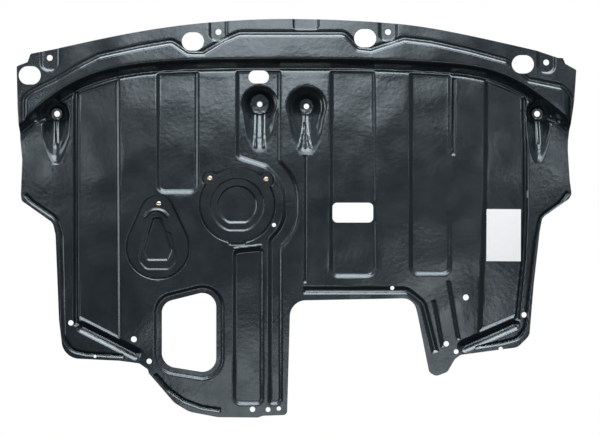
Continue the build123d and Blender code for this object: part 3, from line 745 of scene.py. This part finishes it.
def spread(ring, spacing):
    """A ring with extra points on its long sides, about a spacing apart."""
    out = []
    for (ax, ay), (bx, by) in zip(ring, list(ring[1:]) + [ring[0]]):
        n = max(1, round(hypot(bx - ax, by - ay) / spacing))
        out += [(ax + (bx - ax) * i / n, ay + (by - ay) * i / n) for i in range(n)]
    return out


def refined_points(height, low, high, coarse, fine, tolerance, skin):
    """Corners of square cells that get smaller where the surface bends."""
    xs = np.arange(low[0] - coarse, high[0] + coarse, coarse)
    ys = np.arange(low[1] - coarse, high[1] + coarse, coarse)
    cx, cy = [a.ravel() for a in np.meshgrid(xs, ys)]
    size, keep = coarse, []
    while len(cx):
        h = size / 2
        corner = [height(cx + dx * size, cy + dy * size, skin) for dx, dy in ((0, 0), (1, 0), (0, 1), (1, 1))]
        z00, z10, z01, z11 = corner
        middle = [(h, 0, (z00 + z10) / 2), (h, size, (z01 + z11) / 2), (0, h, (z00 + z01) / 2),
                  (size, h, (z10 + z11) / 2), (h, h, (z00 + z10 + z01 + z11) / 4)]
        if size > 2 * fine:
            middle += [(h / 2, h / 2, (9 * z00 + 3 * z10 + 3 * z01 + z11) / 16),
                       (1.5 * h, 1.5 * h, (z00 + 3 * z10 + 3 * z01 + 9 * z11) / 16)]
        error = np.zeros_like(cx)
        for dx, dy, flat in middle:
            error = np.maximum(error, np.abs(height(cx + dx, cy + dy, skin) - flat))
        split = (error > tolerance) & (size > fine)
        for dx in (0, size):
            for dy in (0, size):
                keep.append(np.stack([cx[~split] + dx, cy[~split] + dy], 1))
        cx, cy = cx[split], cy[split]
        cx, cy = (np.concatenate([cx, cx + h, cx, cx + h]), np.concatenate([cy, cy, cy + h, cy + h]))
        size = h
    return np.unique(np.round(np.concatenate(keep) * 1024).astype(np.int64), axis=0) / 1024.0


def triangulated(points, outline, holes, guides):
    """Triangles over the points, inside the outline, outside the holes and along the guide rings."""
    rings = [spread(outline, RING_SPACING)] + [spread(hole, HOLE_SPACING) for hole in holes]
    guide_rings = [spread(guide, RING_SPACING) for guide in guides]
    keep = np.ones(len(points), bool)
    for i, ring in enumerate(rings + guide_rings):
        r = Ring(ring)
        near = r.near(points[:, 0], points[:, 1], 1.0) & keep
        d = r.distance(points[near, 0], points[near, 1])
        if i == 0:
            bad = d < EDGE_CLEAR
            far = ~r.near(points[:, 0], points[:, 1], 0.0)
            keep[far] = False
        elif i < len(rings):
            bad = d > -EDGE_CLEAR
        else:
            bad = np.abs(d) < GUIDE_CLEAR
        index = np.where(near)[0]
        keep[index[bad]] = False
    verts = [Vector(p) for p in points[keep]]
    edges = []
    for ring in rings + guide_rings:
        start = len(verts)
        verts += [Vector(p) for p in ring]
        edges += [(start + i, start + (i + 1) % len(ring)) for i in range(len(ring))]
    out, _, faces, *_ = delaunay_2d_cdt(verts, edges, [], 0, 1e-5)
    out = np.array([tuple(v) for v in out])
    faces = np.array([tuple(f) for f in faces if len(f) == 3])
    c = out[faces].mean(axis=1)
    good = inside_distance(c[:, 0], c[:, 1], rings[0]) > 0
    for ring in rings[1:]:
        r = Ring(ring)
        near = r.near(c[:, 0], c[:, 1], 0.0) & good
        index = np.where(near)[0]
        good[index[r.distance(c[near, 0], c[near, 1]) > 0]] = False
    faces = faces[good]
    (ax, ay), (bx, by), (cx, cy) = [out[faces[:, k]].T for k in range(3)]
    area = (bx - ax) * (cy - ay) - (cx - ax) * (by - ay)
    faces[area < 0] = faces[area < 0][:, ::-1]
    used = np.unique(faces)
    place = np.full(len(out), -1)
    place[used] = np.arange(len(used))
    return out[used], place[faces]


def surface_normals(height, x, y, skin, step=0.25):
    """Normals of the surface at each place, from its heights a step to each side."""
    gx = (height(x + step, y, skin) - height(x - step, y, skin)) / (2 * step)
    gy = (height(x, y + step, skin) - height(x, y - step, skin)) / (2 * step)
    n = np.stack([-gx, -gy, np.ones_like(gx)], 1)
    return n / np.linalg.norm(n, axis=1)[:, None]


def open_edges(faces):
    """Edges with a face on one side only, in that face's direction."""
    pairs = np.concatenate([faces[:, [0, 1]], faces[:, [1, 2]], faces[:, [2, 0]]])
    key = np.sort(pairs, axis=1)
    _, inverse, count = np.unique(key, axis=0, return_inverse=True, return_counts=True)
    return pairs[count[inverse.ravel()] == 1]


def formed_sheet(name, height, outline, holes, guides, thickness, fine, tolerance=0.05):
    """One sheet as a mesh object: seen face, under face and the cut edges between them."""
    ring = np.array(outline)
    low, high = ring.min(0), ring.max(0)
    parts, normals, faces, offset = [], [], [], 0
    for skin, allowed, smallest in ((0.0, tolerance, fine), (thickness, UNDER_TOLERANCE, 2 * fine)):
        points = refined_points(height, low, high, COARSE_CELL, smallest, allowed, skin)
        flat, tris = triangulated(points, outline, holes, guides if skin == 0 else [])
        x, y = flat[:, 0], flat[:, 1]
        z = height(x, y, skin)
        n = surface_normals(height, x, y, skin)
        parts.append(np.stack([x, y, z], 1))
        if skin == 0:
            rim = open_edges(tris)
            seen = (x, y, z)
            faces.append(tris + offset)
            normals.append(n[tris].reshape(-1, 3))
        else:
            faces.append(tris[:, ::-1] + offset)
            normals.append(-n[tris[:, ::-1]].reshape(-1, 3))
        offset += len(x)
    x, y, z = seen
    a, b = rim[:, 0], rim[:, 1]
    top_a, top_b = np.stack([x[a], y[a], z[a]], 1), np.stack([x[b], y[b], z[b]], 1)
    low_a = np.stack([x[a], y[a], height(x[a], y[a], thickness)], 1)
    low_b = np.stack([x[b], y[b], height(x[b], y[b], thickness)], 1)
    count = len(a)
    parts += [top_a, top_b, low_b, low_a]
    ia, ib, jb, ja = [np.arange(count) + offset + row * count for row in range(4)]
    faces += [np.stack([ib, ia, ja], 1), np.stack([ib, ja, jb], 1)]
    out = np.stack([(top_b - top_a)[:, 1], -(top_b - top_a)[:, 0], np.zeros(count)], 1)
    out /= np.maximum(np.linalg.norm(out, axis=1), 1e-9)[:, None]
    normals += [np.repeat(out, 3, axis=0), np.repeat(out, 3, axis=0)]
    verts = np.concatenate(parts) * MM
    tris = np.concatenate(faces)
    mesh = bpy.data.meshes.new(name)
    mesh.from_pydata(verts.tolist(), [], tris.tolist())
    mesh.shade_smooth()
    mesh.normals_split_custom_set(np.concatenate(normals).tolist())
    mesh.update()
    obj = bpy.data.objects.new(name, mesh)
    bpy.context.scene.collection.objects.link(obj)
    print(name, "triangles", len(tris))
    return obj


def new_material(name):
    """A new node material with its tree and its shader."""
    material = bpy.data.materials.new(name)
    material.use_nodes = True
    tree = material.node_tree
    return material, tree, tree.nodes["Principled BSDF"]


def noise(tree, scale, detail):
    """Noise laid on the piece's own axes."""
    place = tree.nodes.new("ShaderNodeTexCoord")
    cloud = tree.nodes.new("ShaderNodeTexNoise")
    cloud.inputs["Scale"].default_value = scale
    cloud.inputs["Detail"].default_value = detail
    tree.links.new(place.outputs["Object"], cloud.inputs["Vector"])
    return cloud.outputs["Fac"]


def two_tones(tree, factor, low, dark, high, light):
    """A dark colour up to a low factor, blended into a light one from a high factor on."""
    tint = tree.nodes.new("ShaderNodeValToRGB")
    for element, position, tone in zip(tint.color_ramp.elements, (low, high), (dark, light)):
        element.position, element.color = position, (*tone, 1)
    tree.links.new(factor, tint.inputs["Fac"])
    return tint.outputs["Color"]


def ranged(tree, value, to_low, to_high, from_low=0.0, from_high=1.0):
    """A value moved from one range to another."""
    node = tree.nodes.new("ShaderNodeMapRange")
    node.inputs["From Min"].default_value = from_low
    node.inputs["From Max"].default_value = from_high
    node.inputs["To Min"].default_value = to_low
    node.inputs["To Max"].default_value = to_high
    tree.links.new(value, node.inputs["Value"])
    return node.outputs["Result"]


def bumped(tree, height, strength, distance, below=None):
    """A bump of some height in metres, on top of another one where it is given."""
    node = tree.nodes.new("ShaderNodeBump")
    node.inputs["Strength"].default_value = strength
    node.inputs["Distance"].default_value = distance
    tree.links.new(height, node.inputs["Height"])
    if below:
        tree.links.new(below, node.inputs["Normal"])
    return node.outputs["Normal"]


def moulded_plastic(name, dark, light, ripple):
    """Black pressed plastic: uneven gloss, faint ripples of the sheet and a fine skin."""
    material, tree, shader = new_material(name)
    shader.inputs["Specular IOR Level"].default_value = 1.0
    shader.inputs["Specular Tint"].default_value = (0.8, 0.93, 1.0, 1)
    clouds, patches = noise(tree, scale=9.0, detail=4.0), noise(tree, scale=26.0, detail=5.0)
    tint = two_tones(tree, clouds, low=0.3, dark=dark, high=0.7, light=light)
    gloss = ranged(tree, patches, to_low=0.17, to_high=0.26, from_low=0.3, from_high=0.7)
    ripples = bumped(tree, noise(tree, scale=120.0, detail=3.0), strength=1.0, distance=ripple)
    skin = bumped(tree, noise(tree, scale=700.0, detail=2.0), strength=0.15, distance=0.00012, below=ripples)
    tree.links.new(tint, shader.inputs["Base Color"])
    tree.links.new(gloss, shader.inputs["Roughness"])
    tree.links.new(skin, shader.inputs["Normal"])
    return material


def plated_metal(name, dark, light):
    """Plated screw steel with brown patches and fine marks."""
    material, tree, shader = new_material(name)
    shader.inputs["Metallic"].default_value = 1.0
    patches = noise(tree, scale=420.0, detail=4.0)
    tint = two_tones(tree, patches, low=0.42, dark=dark, high=0.62, light=light)
    gloss = ranged(tree, patches, to_low=0.22, to_high=0.48)
    marks = bumped(tree, patches, strength=0.3, distance=0.0001)
    tree.links.new(tint, shader.inputs["Base Color"])
    tree.links.new(gloss, shader.inputs["Roughness"])
    tree.links.new(marks, shader.inputs["Normal"])
    return material


def label_paper(name, dark, light):
    """White paper with a faint fibre grain."""
    material, tree, shader = new_material(name)
    shader.inputs["Roughness"].default_value = 0.6
    fibre = noise(tree, scale=600.0, detail=6.0)
    tint = two_tones(tree, fibre, low=0.35, dark=dark, high=0.65, light=light)
    grain = bumped(tree, fibre, strength=0.15, distance=0.00005)
    tree.links.new(tint, shader.inputs["Base Color"])
    tree.links.new(grain, shader.inputs["Normal"])
    return material


def colour(name, description, default):
    """A colour of the settings."""
    return bpy.props.FloatVectorProperty(name=name, description=description, default=default, subtype="COLOR",
                                         min=0.0, max=1.0)


class ShieldSettings(bpy.types.PropertyGroup):
    """Sizes of the sheet and how finely it is built."""

    thickness: bpy.props.FloatProperty(
        name="Sheet thickness", description="Thickness of the shield's sheet in metres", default=0.003,
        min=0.001, max=0.006, unit="LENGTH")
    cell: bpy.props.FloatProperty(
        name="Smallest cell", description="Smallest mesh cell on the shield in metres", default=0.002,
        min=0.0005, max=0.008, unit="LENGTH")
    cover_cell: bpy.props.FloatProperty(
        name="Cover cell", description="Smallest mesh cell on the covers in metres", default=0.0005,
        min=0.00025, max=0.004, unit="LENGTH")
    wave: bpy.props.FloatProperty(
        name="Waves", description="Strength of the faint waves of the cooled sheet", default=1.0,
        min=0.0, max=2.0)


class ColourSettings(bpy.types.PropertyGroup):
    """Colours of the materials, each as its darker and its lighter patches."""

    sheet_dark: colour("Sheet, dark", "Darker patches of the shield's plastic", (0.005, 0.007, 0.008))
    sheet_light: colour("Sheet, light", "Lighter patches of the shield's plastic", (0.009, 0.0115, 0.013))
    cover_dark: colour("Covers, dark", "Darker patches of the covers' plastic", (0.006, 0.008, 0.009))
    cover_light: colour("Covers, light", "Lighter patches of the covers' plastic", (0.010, 0.0125, 0.014))
    screw_dark: colour("Screws, dark", "Brown patches of the screws' plating", (0.42, 0.25, 0.13))
    screw_light: colour("Screws, light", "Bright patches of the screws' plating", (0.78, 0.72, 0.64))
    paper_dark: colour("Label, dark", "Darker fibres of the label's paper", (0.78, 0.79, 0.8))
    paper_light: colour("Label, light", "Lighter fibres of the label's paper", (0.9, 0.9, 0.9))


class StudioSettings(bpy.types.PropertyGroup):
    """Lamps and camera."""

    light_level: bpy.props.FloatProperty(
        name="Light level", description="Factor on the brightness of every lamp", default=1.0,
        min=0.0, max=5.0)
    lens: bpy.props.FloatProperty(
        name="Lens", description="Focal length of the camera in millimetres", default=200.0,
        min=30.0, max=300.0, unit="CAMERA")
    frame_width: bpy.props.FloatProperty(
        name="View width", description="Width of the view at the shield in metres", default=1.116,
        min=0.3, max=3.0, unit="LENGTH")


def shield_outline():
    """The ring of the shield's outer edge."""
    front = smooth_line(FRONT_EDGE, 60)
    sides = [(x, y) for x, y, r in SIDES]
    return rounded(front + sides, [0] * len(front) + [r for x, y, r in SIDES])


def shield_holes():
    """The rings of everything that is cut through the shield."""
    holes = [circle(x, y, diameter / 2, sides=24) for x, y, diameter in ROUND_HOLES]
    holes += [rounded(box(x, y, length, width), 0.499 * width, angle=9) for x, y, length, width in OVALS]
    holes += [rounded(box(*SLOT), SLOT_CORNER, angle=10), bent(WINDOW)]
    holes += [circle(*ROUND_AT, ROUND_R - SEAT_LEDGE, sides=60)]
    holes += [hull_of_two(TEAR_OPEN, (TEAR_LOW[0], TEAR_LOW[1], TEAR_LOW[2] - SEAT_LEDGE))]
    holes += [circle(x, y, SCREW_HOLE_R, sides=12) for name, x, y in SCREWS]
    return holes


class SHIELD_OT_sheet(bpy.types.Operator):
    """Build the shield's pressed sheet in place of its CAD node"""

    bl_idname = "shield.sheet"
    bl_label = "Build the sheet"

    def execute(self, context):
        settings, colours = context.scene.shield_settings, context.scene.colour_settings
        height = shield_height(shield_forms(), settings.wave)
        edge, foot = COVER_GAP + EDGE_WIDTH, COVER_GAP - FOOT_INSET
        guides = [round_plan(edge), round_plan(foot), tear_plan(edge), tear_plan(foot)]
        sheet = formed_sheet("shield_sheet", height, shield_outline(), shield_holes(), guides,
                             settings.thickness / MM, settings.cell / MM)
        plastic = moulded_plastic("sheet plastic", colours.sheet_dark, colours.sheet_light, ripple=0.00028)
        sheet.data.materials.append(plastic)
        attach(sheet, "root")
        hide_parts("shield")
        return {"FINISHED"}


class SHIELD_OT_covers(bpy.types.Operator):
    """Build the two access covers in place of their CAD nodes"""

    bl_idname = "shield.covers"
    bl_label = "Build the covers"

    def execute(self, context):
        settings, colours = context.scene.shield_settings, context.scene.colour_settings
        plastic = moulded_plastic("cover plastic", colours.cover_dark, colours.cover_light, ripple=0.00012)
        dishes = [Press(dish_ring(radius, chord), PANEL_Z, depth, slope=44, top=1.2, low=1.2)
                  for radius, chord, depth in DISH]
        holes = [circle(x, y, SCREW_HOLE_R, sides=16) for x, y in EARS]
        cover = formed_sheet("round_cover_visual", panel_height(dishes), round_plan(-COVER_INSET), holes, [],
                             SEAT_DEPTH, settings.cover_cell / MM, COVER_TOLERANCE)
        cover.data.materials.append(plastic)
        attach(cover, "root")
        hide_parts("round_access_cover")
        forms = [Press(bent(points), PANEL_Z, depth, slope=42, top=1.2, low=1.2)
                 for depth, points in TEAR_DISH]
        forms.append(Bead(smooth_line(TEAR_ARCH, 16), half=4.4, rise=2.0))
        holes = [circle(*TEAR_SCREW, SCREW_HOLE_R, sides=16)]
        cover = formed_sheet("teardrop_cover_visual", panel_height(forms), tear_plan(-COVER_INSET), holes, [],
                             SEAT_DEPTH, settings.cover_cell / MM, COVER_TOLERANCE)
        cover.data.materials.append(plastic)
        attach(cover, "root")
        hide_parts("teardrop_access_cover")
        return {"FINISHED"}


def screw_mesh(name, x, y):
    """One turned screw with a cross recess, as a mesh."""
    verts, faces = [], []
    for radius, level in SCREW_SECTION:
        for i in range(SCREW_SIDES):
            angle = 2 * pi * i / SCREW_SIDES
            across = min(abs(radius * cos(angle)), abs(radius * sin(angle)))
            recessed = level > CROSS_ABOVE and radius < CROSS_REACH and across < CROSS_HALF
            depth = CROSS_DEPTH if recessed else 0.0
            verts.append(((x + radius * cos(angle)) * MM, (y + radius * sin(angle)) * MM,
                          (PANEL_Z + level - depth) * MM))
    for k in range(len(SCREW_SECTION) - 1):
        row = k * SCREW_SIDES
        for i in range(SCREW_SIDES):
            j = (i + 1) % SCREW_SIDES
            faces.append((row + j, row + i, row + SCREW_SIDES + i, row + SCREW_SIDES + j))
    mesh = bpy.data.meshes.new(name)
    mesh.from_pydata(verts, [], faces)
    mesh.validate()
    mesh.shade_smooth()
    return mesh


class SHIELD_OT_screws(bpy.types.Operator):
    """Build the three screws in place of their CAD nodes"""

    bl_idname = "shield.screws"
    bl_label = "Build the screws"

    def execute(self, context):
        colours = context.scene.colour_settings
        metal = plated_metal("screw plating", colours.screw_dark, colours.screw_light)
        for name, x, y in SCREWS:
            screw = bpy.data.objects.new(name + "_visual", screw_mesh(name + "_visual", x, y))
            context.scene.collection.objects.link(screw)
            screw.data.materials.append(metal)
            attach(screw, "root")
            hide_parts(name)
        return {"FINISHED"}


class SHIELD_OT_label(bpy.types.Operator):
    """Give the paper label its material"""

    bl_idname = "shield.label"
    bl_label = "Finish the label"

    def execute(self, context):
        colours = context.scene.colour_settings
        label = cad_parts["paper_label"]
        paper = label_paper("label paper", colours.paper_dark, colours.paper_light)
        if label.material_slots:
            for entry in label.material_slots:
                entry.material = paper
        else:
            label.data.materials.append(paper)
        return {"FINISHED"}


def lay_floor(scene):
    """A floor that is white to the camera and dim to everything else."""
    mesh = bpy.data.meshes.new("floor")
    mesh.from_pydata([(x, y, 0) for x, y in box(0, 0, FLOOR_SIZE, FLOOR_SIZE)], [], [(0, 1, 2, 3)])
    floor = bpy.data.objects.new("floor", mesh)
    scene.collection.objects.link(floor)
    floor.location.z = -FLOOR_DROP
    material, tree, shader = new_material("floor white")
    nodes, links = tree.nodes, tree.links
    path = nodes.new("ShaderNodeLightPath")
    mix = nodes.new("ShaderNodeMixShader")
    links.new(path.outputs["Is Camera Ray"], mix.inputs["Fac"])
    for socket, level in ((1, 0.05), (2, 1.0)):
        glow = nodes.new("ShaderNodeEmission")
        glow.inputs["Color"].default_value = (level, level, level, 1)
        links.new(glow.outputs["Emission"], mix.inputs[socket])
    links.new(mix.outputs["Shader"], nodes["Material Output"].inputs["Surface"])
    mesh.materials.append(material)


def set_world(scene):
    """A world that is white to the camera and otherwise grey, brighter towards the front."""
    world = bpy.data.worlds.new("studio")
    scene.world = world
    world.use_nodes = True
    tree = world.node_tree
    nodes, links = tree.nodes, tree.links
    place = nodes.new("ShaderNodeTexCoord")
    axes = nodes.new("ShaderNodeSeparateXYZ")
    links.new(place.outputs["Generated"], axes.inputs["Vector"])
    toward_front = ranged(tree, axes.outputs["Y"], to_low=0.0, to_high=1.0, from_low=-0.25)
    tone = two_tones(tree, toward_front, low=0.0, dark=(0.05, 0.055, 0.06), high=1.0, light=(0.5, 0.54, 0.58))
    path = nodes.new("ShaderNodeLightPath")
    mix = nodes.new("ShaderNodeMix")
    mix.data_type = "RGBA"
    mix.inputs["B"].default_value = (1, 1, 1, 1)
    links.new(path.outputs["Is Camera Ray"], mix.inputs["Factor"])
    links.new(tone, mix.inputs["A"])
    links.new(mix.outputs["Result"], nodes["Background"].inputs["Color"])


def hang_lamps(scene, light_level):
    """The soft rectangular lamps."""
    for name, place, aim, size, level in LAMPS:
        light = bpy.data.lights.new(name, "AREA")
        light.shape = "RECTANGLE"
        light.size, light.size_y = size
        light.energy = level * pi * size[0] * size[1] * light_level
        lamp = bpy.data.objects.new(name, light)
        scene.collection.objects.link(lamp)
        lamp.location = place
        lamp.rotation_euler = (Vector(aim) - Vector(place)).to_track_quat("-Z", "Y").to_euler()


def set_camera(scene, focal_length, view_width):
    """The camera straight above the shield, as far up as its lens needs for the width of the view."""
    lens = bpy.data.cameras.new("camera")
    lens.lens = focal_length
    lens.sensor_width = SENSOR_WIDTH
    lens.clip_end = 50.0
    camera = bpy.data.objects.new("camera", lens)
    scene.collection.objects.link(camera)
    x, y, z = VIEW_MIDDLE
    camera.location = (x, y, z + view_width * focal_length / SENSOR_WIDTH)
    scene.camera = camera


class SHIELD_OT_studio(bpy.types.Operator):
    """Set up the floor, the lamps and the camera"""

    bl_idname = "shield.studio"
    bl_label = "Set up the studio"

    def execute(self, context):
        scene, settings = context.scene, context.scene.studio_settings
        scene.view_settings.view_transform = "Standard"
        lay_floor(scene)
        set_world(scene)
        hang_lamps(scene, settings.light_level)
        set_camera(scene, settings.lens, settings.frame_width)
        return {"FINISHED"}


class SHIELD_PT_panel(bpy.types.Panel):
    """Settings and building steps of the shield"""

    bl_idname = "SHIELD_PT_panel"
    bl_label = "Splash shield"
    bl_space_type = "VIEW_3D"
    bl_region_type = "UI"
    bl_category = "Shield"

    def draw(self, context):
        layout = self.layout
        scene = context.scene
        for group in (scene.shield_settings, scene.colour_settings, scene.studio_settings):
            column = layout.column(align=True)
            for name in type(group).__annotations__:
                column.prop(group, name)
        for operator in STEPS:
            layout.operator(operator)


STEPS = ("shield.sheet", "shield.covers", "shield.screws", "shield.label", "shield.studio")
CLASSES = (ShieldSettings, ColourSettings, StudioSettings, SHIELD_OT_sheet, SHIELD_OT_covers,
           SHIELD_OT_screws, SHIELD_OT_label, SHIELD_OT_studio, SHIELD_PT_panel)


def register():
    """Make the settings, the operators and the panel known to Blender."""
    for cls in CLASSES:
        bpy.utils.register_class(cls)
    bpy.types.Scene.shield_settings = bpy.props.PointerProperty(type=ShieldSettings)
    bpy.types.Scene.colour_settings = bpy.props.PointerProperty(type=ColourSettings)
    bpy.types.Scene.studio_settings = bpy.props.PointerProperty(type=StudioSettings)


def unregister():
    """Take them out again."""
    del bpy.types.Scene.studio_settings
    del bpy.types.Scene.colour_settings
    del bpy.types.Scene.shield_settings
    for cls in reversed(CLASSES):
        bpy.utils.unregister_class(cls)


def main():
    """Build everything in order."""
    register()
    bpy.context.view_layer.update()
    for step in (bpy.ops.shield.sheet, bpy.ops.shield.covers, bpy.ops.shield.screws, bpy.ops.shield.label,
                 bpy.ops.shield.studio):
        step()


if __name__ == "__main__":
    main()
